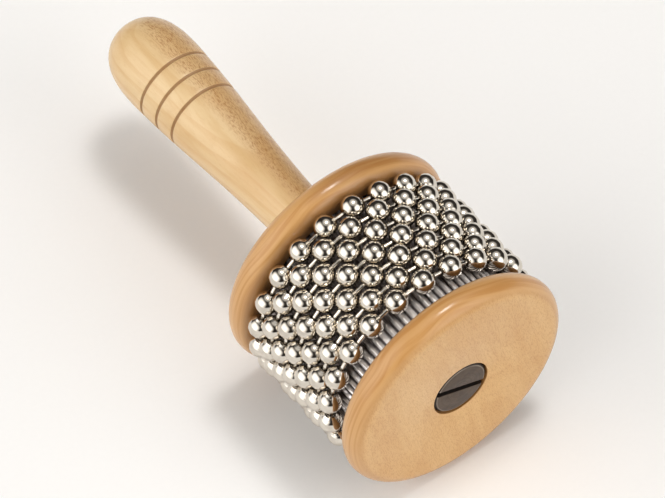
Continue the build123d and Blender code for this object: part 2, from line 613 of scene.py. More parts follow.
@dataclass(frozen=True)
class Nickel:
    """Bright nickel plate with faint rubbing and a trace of haze."""

    name: str
    bright: Colour = srgb(217, 210, 199)
    hazy: Colour = srgb(201, 193, 182)
    high_gloss: float = 0.02
    low_gloss: float = 0.05

    def make(self) -> Material:
        """Builds the material.

        Returns:
            The finished plate.
        """
        plate = Nodes(self.name)
        spot = plate.spot()
        haze = plate.noise(spot, (0.5, 0.5, 0.5), detail=3.0)
        rub = plate.noise(spot, (1.5, 14.0, 1.5), rough=0.6)
        plate.put("Base Color", plate.lay(plate.step(haze, 0.4, 0.7), self.bright, self.hazy))
        worn = plate.times(plate.step(rub, 0.45, 0.75), plate.step(haze, 0.35, 0.65, 0.4, 1.0))
        plate.put("Roughness", plate.step(worn, 0.0, 1.0, self.high_gloss, self.low_gloss))
        plate.sheen(metallic=1.0)
        plate.bump(rub, 0.0006 * MM, 0.25)
        return plate.material


@dataclass(frozen=True)
class RolledSteel:
    """Thin bright sheet, rolled into waves, with painted shade in its valleys and painted shade where the
    chains cover it.
    """

    name: str
    valley_radius: float
    crest_radius: float
    cover_start: float
    cover_fade: float = 2.0 * MM
    chain_shade_share: float = 0.85
    valley_shade_share: float = 0.95
    valley_width: float = 0.55
    bright: Colour = srgb(250, 247, 246)
    tarnish_and_valley_shade: Colour = srgb(50, 41, 45)
    # Colour of the painted shade under the chains.
    chain_shade_colour: Colour = srgb(92, 81, 76)

    def make(self) -> Material:
        """Builds the material.

        Returns:
            The finished sheet.
        """
        sheet = Nodes(self.name)
        x, y, z = sheet.spot(AXIS_HEIGHT)
        # Painted shade in the valleys of the waves, darkest at their bottoms and fading part of the way up to
        # the crests.
        slope = self.valley_radius + (self.crest_radius - self.valley_radius) * self.valley_width
        valley = sheet.step(sheet.reach(x, z), self.valley_radius * PER_MM, slope * PER_MM,
                            self.valley_shade_share, 0.0)
        lines = sheet.noise((x, y, z), (6.0, 0.08, 6.0))
        # Painted shade under the chains: the sheet darkens from where the chains start towards the back.
        chain_shade = sheet.step(y, self.cover_start * PER_MM, (self.cover_start + self.cover_fade) * PER_MM,
                             0.0, self.chain_shade_share)
        # The dark colour is laid first as random streaks of tarnish, then as the painted shade in the valleys.
        colour = sheet.lay(sheet.step(lines, 0.45, 0.8, 0.0, 0.15), self.bright, self.tarnish_and_valley_shade)
        colour = sheet.lay(valley, colour, self.tarnish_and_valley_shade)
        sheet.put("Base Color", sheet.lay(chain_shade, colour, self.chain_shade_colour))
        sheet.put("Roughness", sheet.plus(sheet.step(lines, 0.3, 0.75, 0.13, 0.17), sheet.times(chain_shade, 0.15)))
        sheet.sheen(metallic=0.6)
        return sheet.material


@dataclass(frozen=True)
class DarkScrew:
    """Brown-grey oxide finish with fine turned rings, a pale line round the head that is partly rubbed wear and
    partly a painted highlight, and painted shade, near black, below its face.
    """

    name: str
    face_level: float
    rim_radius: float
    rim_width: float = 0.2 * MM
    recess_shade_start: float = 0.06 * MM
    recess_shade_end: float = 0.22 * MM
    recess_shade_share: float = 0.95
    face: Colour = srgb(81, 66, 54)
    shade: Colour = srgb(67, 54, 45)
    rubbed_and_highlit: Colour = srgb(164, 152, 138)
    recess_shade_colour: Colour = srgb(26, 20, 18)

    def make(self) -> Material:
        """Builds the material.

        Returns:
            The finished oxide.
        """
        oxide = Nodes(self.name)
        x, y, z = oxide.spot(AXIS_HEIGHT)
        radius = oxide.reach(x, z)
        cloud = oxide.noise((x, y, z), (0.4, 0.4, 0.4), detail=4.0, rough=0.6)
        rings = oxide.noise((radius, x, z), (6.0, 0.15, 0.15))
        from_rim = oxide.operate("ABSOLUTE", oxide.minus(radius, self.rim_radius * PER_MM))
        # A pale line at the chamfer's inner edge: partly rubbed wear, partly a painted highlight.
        rubbed_and_highlit = oxide.times(oxide.step(from_rim, 0.0, self.rim_width * PER_MM, 1.0, 0.0),
                             oxide.step(cloud, 0.3, 0.6, 0.4, 1.0))
        # Painted shade: near black on everything deeper than the head's face, which takes in the slot and the
        # chamfer.
        recess_shade = oxide.step(oxide.minus(y, self.face_level * PER_MM), self.recess_shade_start * PER_MM,
                           self.recess_shade_end * PER_MM, 0.0, self.recess_shade_share)
        colour = oxide.lay(oxide.step(cloud, 0.38, 0.66), self.face, self.shade)
        colour = oxide.lay(oxide.times(rubbed_and_highlit, 0.75), colour, self.rubbed_and_highlit)
        oxide.put("Base Color", oxide.lay(recess_shade, colour, self.recess_shade_colour))
        oxide.put("Roughness", oxide.step(rings, 0.3, 0.7, 0.42, 0.56))
        oxide.sheen(metallic=0.0, specular_ior_level=0.35)
        oxide.bump(rings, 0.004 * MM)
        return oxide.material


@dataclass(frozen=True)
class Brass:
    """Turned brass of the insert, with fine rings and a dull film."""

    name: str
    bright: Colour = srgb(205, 172, 96)
    dull: Colour = srgb(158, 124, 62)

    def make(self) -> Material:
        """Builds the material.

        Returns:
            The finished brass.
        """
        brass = Nodes(self.name)
        x, y, z = brass.spot()
        film = brass.noise((x, y, z), (0.7, 0.7, 0.7), detail=3.0)
        rings = brass.noise((y, x, z), (9.0, 0.0, 0.0))
        brass.put("Base Color", brass.lay(brass.step(film, 0.4, 0.65), self.bright, self.dull))
        brass.put("Roughness", brass.step(rings, 0.3, 0.7, 0.24, 0.4))
        brass.sheen(metallic=1.0)
        brass.bump(rings, 0.01 * MM)
        return brass.material


@dataclass(frozen=True)
class PaleFloor:
    """Matt white studio paper with a faint tooth."""

    name: str
    white: Colour = (0.93, 0.93, 0.93, 1.0)
    grey: Colour = (0.91, 0.91, 0.91, 1.0)

    def make(self) -> Material:
        """Builds the material.

        Returns:
            The finished paper.
        """
        paper = Nodes(self.name)
        tooth = paper.noise(paper.spot(), (0.9, 0.9, 0.9))
        paper.put("Base Color", paper.lay(tooth, self.white, self.grey))
        paper.sheen(roughness=0.9, specular_ior_level=0.1)
        return paper.material


def two_tone(piece: Piece, main: Material, other: Material,
             test: Callable[[bpy.types.MeshPolygon], bool]) -> None:
    """Gives a new piece its finish, and another one to some of its faces.

    Args:
        piece: The finished piece.
        main: Its material.
        other: Material of the faces that pass the test.
        test: Tells whether a face gets the other material.
    """
    for finish in (main, other):
        piece.data.materials.append(finish)
    for face in piece.data.polygons:
        face.material_index = int(test(face))


def dress(piece: Piece, finish: Material, slot: str, body: str, *nodes: str) -> None:
    """Gives a new piece its finish, its body and the CAD nodes that it stands for.

    Args:
        piece: The finished piece.
        finish: Its material.
        slot: The record's material slot; not used.
        body: The CAD body that it rides on.
        nodes: The CAD nodes that it replaces.
    """
    if not piece.data.materials:
        piece.data.materials.append(finish)
    piece.data.materials[0] = finish
    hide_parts(*nodes)
    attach(piece, body)
    LOG.info("%s: %d faces, rides on %s", piece.name, len(piece.data.polygons), body)


@dataclass
class Flange:
    """A turned wooden disc with a fully rounded rim, bored through, and grooved for the sleeve."""

    name: str
    node: str
    start: float
    outside: Facing
    bore: float
    counterbore: float = 0.0
    counterbore_depth: float = 0.0
    radius: float = 29.0 * MM
    thickness: float = 7.2 * MM
    groove_outer: float = 23.25 * MM
    groove_inner: float = 21.95 * MM
    groove_depth: float = 0.8 * MM
    border: float = 0.6 * MM
    broken_edge: float = 0.14 * MM
    facets: int = 96
    rim_steps: int = 9

    @property
    def flat_radius(self) -> float:
        """Radius at which the rim starts."""
        return self.radius - self.thickness / 2

    def flat(self, facing: Facing) -> float:
        """Gives the Y of the flat side that looks that way."""
        return at(self.start + (self.thickness if facing is Facing.BACK else 0.0))

    def inset(self, outer: float, inner: float) -> None:
        """Insets the selected round face from one radius to a smaller one."""
        bpy.ops.mesh.inset(thickness=(outer - inner) * math.cos(math.pi / self.facets))

    def build(self) -> Piece:
        """Turns the disc, rounds its rim and bores it.

        Returns:
            The flange, in place.
        """
        piece = Bench.cylinder(self.name, self.facets, self.radius, self.start, self.start + self.thickness)
        with Bench.edit(piece):
            Bench.pick(piece, Part.EDGE, lambda edge: abs(edge.verts[0].co.y - edge.verts[1].co.y) < NEAR)
            bpy.ops.mesh.bevel(offset=self.thickness / 2, segments=self.rim_steps, profile=0.5, affect="EDGES",
                               clamp_overlap=False)
            Bench.close()
            self.sink_outside(piece)
            self.groove_inside(piece)
            Bench.pick_rims(piece)
            bpy.ops.mesh.bridge_edge_loops()
            Bench.close()
            self.break_edges(piece)
        Bench.smooth(piece)
        return piece

    def sink_outside(self, piece: Piece) -> None:
        """Sinks the counterbore into the outer side and opens the bore there.

        Args:
            piece: The disc, open in edit mode.
        """
        reached = self.flat_radius - self.border
        Bench.pick_end(piece, self.flat(self.outside))
        self.inset(self.flat_radius, reached)
        if self.counterbore:
            self.inset(reached, self.counterbore)
            Bench.push((0, -self.outside.value * self.counterbore_depth, 0))
            reached = self.counterbore
        self.inset(reached, self.bore)
        bpy.ops.mesh.delete(type="FACE")

    def groove_inside(self, piece: Piece) -> None:
        """Cuts the sleeve's groove into the drum's side and opens the bore there.

        Args:
            piece: The disc, open in edit mode.
        """
        inside = Facing(-self.outside.value)
        level = self.flat(inside)
        Bench.pick_end(piece, level)
        edges = (self.flat_radius, self.groove_outer, self.groove_inner, self.bore)
        for outer, inner in zip(edges, edges[1:]):
            self.inset(outer, inner)
        bpy.ops.mesh.delete(type="FACE")
        Bench.pick(piece, Part.FACE, lambda face: abs(face.calc_center_median().y - level) < NEAR
                   and self.groove_inner < off_axis(face.calc_center_median()) < self.groove_outer)
        Bench.push((0, -inside.value * self.groove_depth, 0))

    def darken_brown(self, piece: Piece, wood: Material, cut: Material) -> None:
        """Gives the walls of the counterbore a darker brown wood: painted shade in the recess.

        Args:
            piece: The finished flange.
            wood: Finish of the flange.
            cut: Finish of the counterbore's walls, with painted shade.
        """
        level = self.flat(self.outside) - self.outside.value * self.broken_edge / 2
        two_tone(piece, wood, cut, lambda face: off_axis(face.center) < self.counterbore
                 and (face.center.y - level) * self.outside.value < 0)

    def break_edges(self, piece: Piece) -> None:
        """Breaks the sharp edge of the counterbore, as fine paper would.

        Args:
            piece: The disc, open in edit mode.
        """
        if self.counterbore:
            level = self.flat(self.outside)
            Bench.pick(piece, Part.EDGE, lambda edge: all(
                abs(corner.co.y - level) < NEAR and abs(off_axis(corner.co) - self.counterbore) < NEAR
                for corner in edge.verts))
            bpy.ops.mesh.bevel(offset=self.broken_edge, segments=2, profile=0.5, affect="EDGES")


@dataclass
class Handle:
    """The turned handle: spigot, slim neck, thick belly with three grooves, and a domed end."""

    name: str = "turned_handle"
    node: str = "handle"
    shoulder: float = 48.2 * MM
    length: float = 75.0 * MM
    neck_radius: float = 6.3 * MM
    grip_station: float = 30.0 * MM
    grip_radius: float = 7.8 * MM
    rise_before_belly: float = 7.6 * MM
    rise_radius: float = 9.62 * MM
    belly_radius: float = 9.95 * MM
    dome_length: float = 14.8 * MM
    dome_power: float = 2.6
    dome_steps: int = 14
    grip_step: float = 1.9 * MM
    groove_from_tip: float = 18.8 * MM
    groove_pitch: float = 5.3 * MM
    groove_count: int = 3
    groove_width: float = 0.95 * MM
    groove_depth: float = 0.5 * MM
    groove_round: float = 0.12 * MM
    spigot_radius: float = 5.5 * MM
    spigot_tip: float = 33.0 * MM
    pocket_radius: float = 4.05 * MM
    pocket_end: float = 45.0 * MM
    drill_radius: float = 3.3 * MM
    drill_end: float = 49.8 * MM
    tip_radius: float = 0.25 * MM
    tip_flat: float = 0.02 * MM
    tip_rise: float = 0.01 * MM
    facets: int = 80

    @property
    def tip(self) -> float:
        """Station of the domed end."""
        return self.shoulder + self.length

    @property
    def belly(self) -> float:
        """Station at which the dome starts."""
        return self.tip - self.dome_length

    def knots(self) -> list[tuple[float, float]]:
        """Gives the stations and radii that the grip's outline runs through."""
        return [(self.shoulder, self.neck_radius), (self.shoulder + self.grip_station, self.grip_radius),
                (self.belly - self.rise_before_belly, self.rise_radius), (self.belly, self.belly_radius)]

    def slopes(self) -> Vector:
        """Works out the outline's slope at each of its four knots, for a curve with even bending.

        Returns:
            The slopes, from the usual equations of a cubic spline with free ends.
        """
        knots = self.knots()
        system, right = Matrix(((0.0,) * 4,) * 4), Vector((0.0,) * 4)
        for k, ((x0, y0), (x1, y1)) in enumerate(zip(knots, knots[1:])):
            for row, column in ((k, k + 1), (k + 1, k)):
                system[row][row] += 2 / (x1 - x0)
                system[row][column] += 1 / (x1 - x0)
                right[row] += 3 * (y1 - y0) / (x1 - x0) ** 2
        return system.inverted() @ right

    def grip(self, station: float) -> float:
        """Gives the radius of the grip at a station.

        Args:
            station: Distance behind the front face, between the shoulder and the belly.

        Returns:
            The radius there.
        """
        knots, slopes = self.knots(), self.slopes()
        k = max(i for i in range(len(knots) - 1) if knots[i][0] <= station)
        (x0, y0), (x1, y1) = knots[k], knots[k + 1]
        span = x1 - x0
        t = (station - x0) / span
        return (y0 * (2 * t ** 3 - 3 * t ** 2 + 1) + y1 * (3 * t ** 2 - 2 * t ** 3)
                + span * (slopes[k] * (t ** 3 - 2 * t ** 2 + t) + slopes[k + 1] * (t ** 3 - t ** 2)))

    def grooves(self) -> list[float]:
        """Gives the stations of the grooves' bottoms, from the neck to the tip."""
        last = self.tip - self.groove_from_tip
        return [last - k * self.groove_pitch for k in reversed(range(self.groove_count))]

    def rings(self) -> list[tuple[float, float]]:
        """Lists the rings of the turned outline, from the drilled hole round to the tip.

        Returns:
            Station and radius of each ring.
        """
        rings = [(self.drill_end, self.drill_radius), (self.pocket_end, self.drill_radius),
                 (self.pocket_end, self.pocket_radius), (self.spigot_tip, self.pocket_radius),
                 (self.spigot_tip, self.spigot_radius), (self.shoulder, self.spigot_radius)]
        cuts = self.grooves()
        half = self.groove_width / 2
        steps = round((self.belly - self.shoulder) / self.grip_step)
        plain = [self.shoulder + (self.belly - self.shoulder) * k / steps for k in range(steps)]
        clear = [s for s in plain if all(abs(s - cut) > half + self.grip_step / 4 for cut in cuts)]
        outline = [(s, self.grip(s)) for s in clear]
        for cut in cuts:
            outline += [(cut - half, self.grip(cut - half)), (cut, self.grip(cut) - self.groove_depth),
                        (cut + half, self.grip(cut + half))]
        rings += sorted(outline)
        for k in range(self.dome_steps):
            turn = math.pi / 2 * k / self.dome_steps
            rings.append((self.belly + self.dome_length * math.sin(turn) ** (2 / self.dome_power),
                          self.belly_radius * math.cos(turn) ** (2 / self.dome_power)))
        return rings + [(self.tip - self.tip_flat, self.tip_radius)]

    def build(self) -> Piece:
        """Turns the handle ring by ring, closes its ends and softens its grooves.

        Returns:
            The handle, in place.
        """
        rings = self.rings()
        Bench.clear()
        station, radius = rings[0]
        bpy.ops.mesh.primitive_circle_add(vertices=self.facets, radius=radius, fill_type="NOTHING",
                                          location=(0, at(station), AXIS_HEIGHT), rotation=(math.pi / 2, 0, 0))
        piece = Bench.name(self.name)
        with Bench.edit(piece):
            for next_station, next_radius in rings[1:]:
                Bench.push((0, next_station - station, 0))
                Bench.widen(next_radius / radius, Vector((0, at(next_station), AXIS_HEIGHT)))
                station, radius = next_station, next_radius
            Bench.push((0, self.tip_rise, 0))
            bpy.ops.mesh.merge(type="CENTER")
            Bench.pick_rims(piece)
            bpy.ops.mesh.edge_face_add()
            Bench.close()
            lips = [at(cut + side * self.groove_width / 2) for cut in self.grooves() for side in (-1, 0, 1)]
            Bench.pick(piece, Part.EDGE, lambda edge: any(
                all(abs(corner.co.y - lip) < NEAR for corner in edge.verts) for lip in lips))
            bpy.ops.mesh.bevel(offset=self.groove_round, segments=2, profile=0.5, affect="EDGES")
        Bench.smooth(piece)
        return piece

    def darken_brown(self, piece: Piece, wood: Material, groove: Material) -> None:
        """Gives the grooves a darker brown wood.

        Args:
            piece: The finished handle.
            wood: Finish of the handle.
            groove: Finish of the grooves.
        """
        reach = self.groove_width / 2 - self.groove_round / 2
        cuts = [at(cut) for cut in self.grooves()]
        two_tone(piece, wood, groove, lambda face: any(abs(face.center.y - cut) < reach for cut in cuts))


@dataclass
class Sleeve:
    """The corrugated sheet round the drum."""

    name: str = "corrugated_sheet"
    node: str = "corrugated_sleeve"
    start: float = 6.4 * MM
    length: float = 35.4 * MM
    waves: int = 72
    crest_radius: float = 23.1 * MM
    valley_radius: float = 22.5 * MM
    sheet: float = 0.4 * MM
    points_per_wave: int = 12
    chains_start: float = 11.1 * MM

    def build(self) -> Piece:
        """Rolls a tube, swings it out to its crests and in to its valleys, and gives the sheet its thickness.

        Returns:
            The sleeve, in place.
        """
        middle = (self.crest_radius + self.valley_radius) / 2
        centre = Vector((0, at(self.start + self.length / 2), AXIS_HEIGHT))
        piece = Bench.cylinder(self.name, self.waves * self.points_per_wave, middle, self.start,
                               self.start + self.length, fill="NOTHING")
        step = 2 * math.pi / self.waves

        def from_crest(point: Vector) -> float:
            """Gives how far round its wave a point lies, from 0 at a crest to 0.5 in a valley."""
            share = math.atan2(point.z - AXIS_HEIGHT, point.x) / step % 1.0
            return 0.5 - abs(share - 0.5)

        with Bench.edit(piece):
            for k in range(self.points_per_wave // 2 + 1):
                turn = k / self.points_per_wave
                Bench.pick(piece, Part.VERT, lambda corner: abs(from_crest(corner.co) - turn) < SAME_TURN)
                swing = (self.crest_radius - middle) * math.cos(2 * math.pi * turn)
                Bench.widen((middle + swing) / middle, centre)
            Bench.close()
        Bench.modify(piece, "SOLIDIFY", thickness=self.sheet, offset=-1.0)
        Bench.smooth(piece)
        return piece


@dataclass
class Screw:
    """The large slotted screw that pulls the head together."""

    name: str = "slotted_screw"
    node: str = "assembly_screw"
    head_radius: float = 7.1 * MM
    head_recess: float = 0.1 * MM
    head_thickness: float = 2.5 * MM
    chamfer: float = 0.6 * MM
    shank_radius: float = 3.0 * MM
    shank_end: float = 45.8 * MM
    slot_width: float = 1.4 * MM
    slot_depth: float = 1.3 * MM
    slot_angle: float = math.radians(-22.0)
    worn_edge: float = 0.07 * MM
    worn_angle: float = math.radians(30.0)
    facets: int = 72

    def build(self) -> Piece:
        """Turns the head, chamfers it, draws out the shank and saws the slot.

        Returns:
            The screw, in place.
        """
        face, seat = at(self.head_recess), at(self.head_recess + self.head_thickness)
        piece = Bench.cylinder(self.name, self.facets, self.head_radius, self.head_recess,
                               self.head_recess + self.head_thickness)
        with Bench.edit(piece):
            Bench.pick(piece, Part.EDGE,
                       lambda edge: all(abs(corner.co.y - face) < NEAR for corner in edge.verts))
            bpy.ops.mesh.bevel(offset=self.chamfer, segments=1, affect="EDGES")
            Bench.pick_end(piece, seat)
            bpy.ops.mesh.inset(thickness=self.head_radius - self.shank_radius)
            Bench.push((0, at(self.shank_end) - seat, 0))
            Bench.close()
        self.saw(piece, face)
        Bench.modify(piece, "BEVEL", width=self.worn_edge, segments=2, limit_method="ANGLE",
                     angle_limit=self.worn_angle)
        Bench.smooth(piece)
        return piece

    def saw(self, piece: Piece, face: float) -> None:
        """Saws the slot across the head with a blade.

        Args:
            piece: The screw.
            face: Y of the head's flat face.
        """
        Bench.clear()
        bpy.ops.mesh.primitive_cube_add(
            size=1.0, location=(0, face, AXIS_HEIGHT), rotation=(0, -self.slot_angle, 0),
            scale=(4 * self.head_radius, 2 * self.slot_depth, self.slot_width))
        blade = Bench.name("saw_blade")
        Bench.modify(piece, "BOOLEAN", operation="DIFFERENCE", object=blade)
        Bench.scrap(blade)


@dataclass
class BallChains:
    """The loops of ball chain: one ball and one link are made, set round a loop, and copied to each place."""

    loops: int = 7
    balls: int = 22
    ball_radius: float = 2.75 * MM
    ball_wall: float = 0.35 * MM
    hole_radius: float = 0.53 * MM
    lip_radius: float = 0.742 * MM
    loop_radius: float = 26.2 * MM
    first_station: float = 38.15 * MM
    nest_distance: float = 5.62 * MM
    phase: float = math.radians(9.85)
    link_radius: float = 0.5 * MM
    link_head_radius: float = 0.95 * MM
    link_head_length: float = 0.55 * MM
    link_head_taper: float = 0.7
    link_reach: float = 2.04 * MM
    ball_segments: int = 16
    ball_rings: int = 10
    link_facets: int = 12

    @property
    def step(self) -> float:
        """Angle from one ball to the next."""
        return 2 * math.pi / self.balls

    @property
    def pitch(self) -> float:
        """Distance along the axis from one loop to the next, nested in its gaps."""
        stagger = 2 * self.loop_radius * math.sin(self.step / 4)
        return math.sqrt(self.nest_distance ** 2 - stagger ** 2)

    def towards_next(self, side: float) -> Vector:
        """Gives the direction from the ball along X to its neighbour on one side, 1 or -1 along Z."""
        return Vector((-math.sin(self.step / 2), 0, side * math.cos(self.step / 2)))

    def ball(self) -> Piece:
        """Makes one hollow ball beside the axis, with its two holes towards its neighbours.

        Returns:
            The ball, out along X from the origin, its poles along Z.
        """
        Bench.clear()
        bpy.ops.mesh.primitive_uv_sphere_add(segments=self.ball_segments, ring_count=self.ball_rings,
                                             radius=self.ball_radius, location=(self.loop_radius, 0, 0))
        piece = Bench.name("one_ball")
        centre = Vector((self.loop_radius, 0, 0))
        pole = self.ball_radius - NEAR
        ring_angle = math.pi / self.ball_rings
        mouth = self.ball_radius * math.cos(ring_angle)
        ratio = self.hole_radius / (self.ball_radius * math.sin(ring_angle))
        with Bench.edit(piece):
            Bench.pick(piece, Part.VERT, lambda corner: abs(corner.co.z) > pole)
            bpy.ops.mesh.delete(type="VERT")
            for ring in range(1, self.ball_rings):
                latitude = math.pi / 2 - ring * ring_angle
                lean = self.step / 2 * latitude / (math.pi / 2 - ring_angle)
                if 2 * ring != self.ball_rings:
                    self.lean_ring(piece, centre, self.ball_radius * math.sin(latitude), lean)
            for side in (1, -1):
                Bench.pick(piece, Part.EDGE, lambda edge: edge.is_boundary and edge.verts[0].co.z * side > 0)
                out = self.towards_next(side)
                hole = math.sqrt(self.ball_radius ** 2 - self.hole_radius ** 2)
                Bench.push(out * (hole - mouth))
                bpy.ops.transform.resize(value=(ratio, ratio, ratio), center_override=centre + out * hole)
                Bench.push(out * -self.ball_wall)
        Bench.smooth(piece)
        return piece

    def lean_ring(self, piece: Piece, centre: Vector, level: float, lean: float) -> None:
        """Turns one ring of the ball about its middle, so that the holes look along the links.

        Args:
            piece: The ball, open in edit mode.
            centre: Middle of the ball.
            level: Height of the ring before it is turned.
            lean: Angle towards the axis.
        """
        Bench.pick(piece, Part.VERT, lambda corner: abs((corner.co - centre).z - level) < NEAR
                   and abs((corner.co - centre).length - self.ball_radius) < NEAR)
        bpy.ops.transform.rotate(value=lean, orient_axis="Y", center_override=centre)

    def link(self) -> Piece:
        """Makes one link half a step round from the ball: a pin with a rounded head in each ball.

        Returns:
            The link, its pin square to the line from the axis.
        """
        half = self.loop_radius * math.sin(self.step / 2) - self.link_reach
        middle = self.loop_radius * math.cos(self.step / 2)
        Bench.clear()
        bpy.ops.mesh.primitive_cylinder_add(vertices=self.link_facets, radius=self.link_radius, depth=2 * half,
                                            location=(middle, 0, 0))
        piece = Bench.name("one_link")
        spread = self.link_head_radius / self.link_radius
        with Bench.edit(piece):
            for side in (1, -1):
                end = Vector((middle, 0, side * half))
                Bench.pick(piece, Part.FACE, lambda face: face.normal.z * side > SQUARE_ON)
                for rise, ratio in ((0.0, spread), (self.link_head_length, self.link_head_taper)):
                    Bench.push((0, 0, side * rise))
                    end.z += side * rise
                    bpy.ops.transform.resize(value=(ratio, ratio, 1), center_override=end)
            Bench.close()
            bpy.ops.transform.rotate(value=self.step / 2, orient_axis="Y", center_override=(0, 0, 0))
        Bench.smooth(piece)
        return piece

    def ring(self, piece: Piece) -> Piece:
        """Repeats a ball or a link round the whole loop.

        Args:
            piece: One ball or link, beside the Y axis.

        Returns:
            The same object, now a whole loop about the origin.
        """
        Bench.clear()
        bpy.ops.object.empty_add(rotation=(0, -self.step, 0))
        turn = bpy.context.active_object
        Bench.modify(piece, "ARRAY", count=self.balls, use_relative_offset=False, use_object_offset=True,
                     offset_object=turn)
        Bench.scrap(turn)
        return piece

    def place(self, pattern: Piece, number: int, name: str) -> Piece:
        """Copies a loop to its place on the drum.

        Args:
            pattern: The loop about the origin.
            number: Which loop it is, counted from 1 at the back flange.
            name: Name of the copy.

        Returns:
            The copy, with its own mesh, in place.
        """
        copy = pattern.copy()
        copy.data = pattern.data.copy()
        bpy.context.scene.collection.objects.link(copy)
        angle = self.phase + (self.step / 2 if number % 2 == 0 else 0.0)
        copy.rotation_euler = (0, -angle, 0)
        copy.location = (0, at(self.first_station - (number - 1) * self.pitch), AXIS_HEIGHT)
        Bench.hold(copy)
        return Bench.name(name)

    def shade_mouths(self, piece: Piece, plate: Material, mouth: Material) -> None:
        """Gives the lips of the ball's two holes a dark, dull finish: painted shade round the holes.

        Args:
            piece: The ball, out along X from the origin.
            plate: Finish of the ball.
            mouth: Finish of its lips, dark as painted shade.
        """
        def on_lip(face: bpy.types.MeshPolygon) -> bool:
            """Tells whether a face lies close round the line through the holes.

            Args:
                face: A face of the ball.

            Returns:
                Whether it belongs to a lip.
            """
            offset = face.center - Vector((self.loop_radius, 0, 0))
            out = self.towards_next(math.copysign(1.0, offset.z))
            return (offset - out * offset.dot(out)).length < self.lip_radius

        two_tone(piece, plate, mouth, on_lip)

    def build(self, plate: Material, mouth: Material, wire: Material) -> None:
        """Makes every loop and dresses it.

        Args:
            plate: Finish of the balls.
            mouth: Finish of the lips of their holes, dark as painted shade.
            wire: Finish of the links.
        """
        ball = self.ball()
        self.shade_mouths(ball, plate, mouth)
        ball_ring, link_ring = self.ring(ball), self.ring(self.link())
        for number in range(1, self.loops + 1):
            body = f"chain_{number}"
            beads = self.place(ball_ring, number, f"loop_{number}_beads")
            dress(beads, plate, "nickel_balls", body, f"{body}_balls")
            pins = self.place(link_ring, number, f"loop_{number}_pins")
            dress(pins, wire, "nickel_links", body, f"{body}_links")
        Bench.scrap(ball_ring)
        Bench.scrap(link_ring)


def towards(azimuth: float, elevation: float) -> Vector:
    """Gives the direction to a viewer, by degrees round from -Y towards +X and degrees above the floor."""
    turn, rise = math.radians(azimuth), math.radians(elevation)
    return Vector((math.sin(turn) * math.cos(rise), -math.cos(turn) * math.cos(rise), math.sin(rise)))


def looking(way: Vector) -> Quaternion:
    """Gives the turn of a lamp or camera that looks a way, upright."""
    return way.to_track_quat("-Z", "Y")


def hang(data: Union[bpy.types.Light, bpy.types.Camera], place: Vector, turn: Quaternion) -> Piece:
    """Puts a lamp or a camera into the scene.

    Args:
        data: The lamp or camera.
        place: Where it goes.
        turn: How it is turned.

    Returns:
        The object that holds it.
    """
    holder = bpy.data.objects.new(data.name, data)
    bpy.context.scene.collection.objects.link(holder)
    holder.location, holder.rotation_mode, holder.rotation_quaternion = place, "QUATERNION", turn
    return holder


@dataclass(frozen=True)
class Softbox:
    """One studio lamp, placed by its direction from the instrument, its light fading towards its edges."""

    name: str
    azimuth: float
    elevation: float
    width: float
    height: float
    watts: float
    feather: float
    distance: float = 2.6
    tint: tuple[float, float, float] = (1.0, 0.98, 0.95)

    def light(self) -> None:
        """Hangs the lamp and turns it to the instrument."""
        lamp = bpy.data.lights.new(self.name, "AREA")
        lamp.shape = "RECTANGLE"
        lamp.size, lamp.size_y, lamp.energy, lamp.color = self.width, self.height, self.watts, self.tint
        self.fade(lamp)
        back = towards(self.azimuth, self.elevation)
        holder = hang(lamp, back * self.distance + Vector((0, 0, AXIS_HEIGHT)), looking(-back))
        holder.visible_camera = False

    def fade(self, lamp: bpy.types.AreaLight) -> None:
        """Lets the light fall off over the feathered border of the lamp's cloth.

        Args:
            lamp: The lamp.
        """
        lamp.use_nodes = True
        tree = Tree(lamp.node_tree)
        sides = tree.add("SeparateXYZ")
        tree.feed(sides.inputs[0], tree.add("NewGeometry").outputs["Parametric"])
        falls = [tree.step(tree.operate("ABSOLUTE", tree.minus(side, 0.5)), 0.5 - self.feather, 0.5, 1.0, 0.0)
                 for side in sides.outputs[:2]]
        tree.feed(tree.nodes["Emission"].inputs["Strength"], tree.times(*falls))


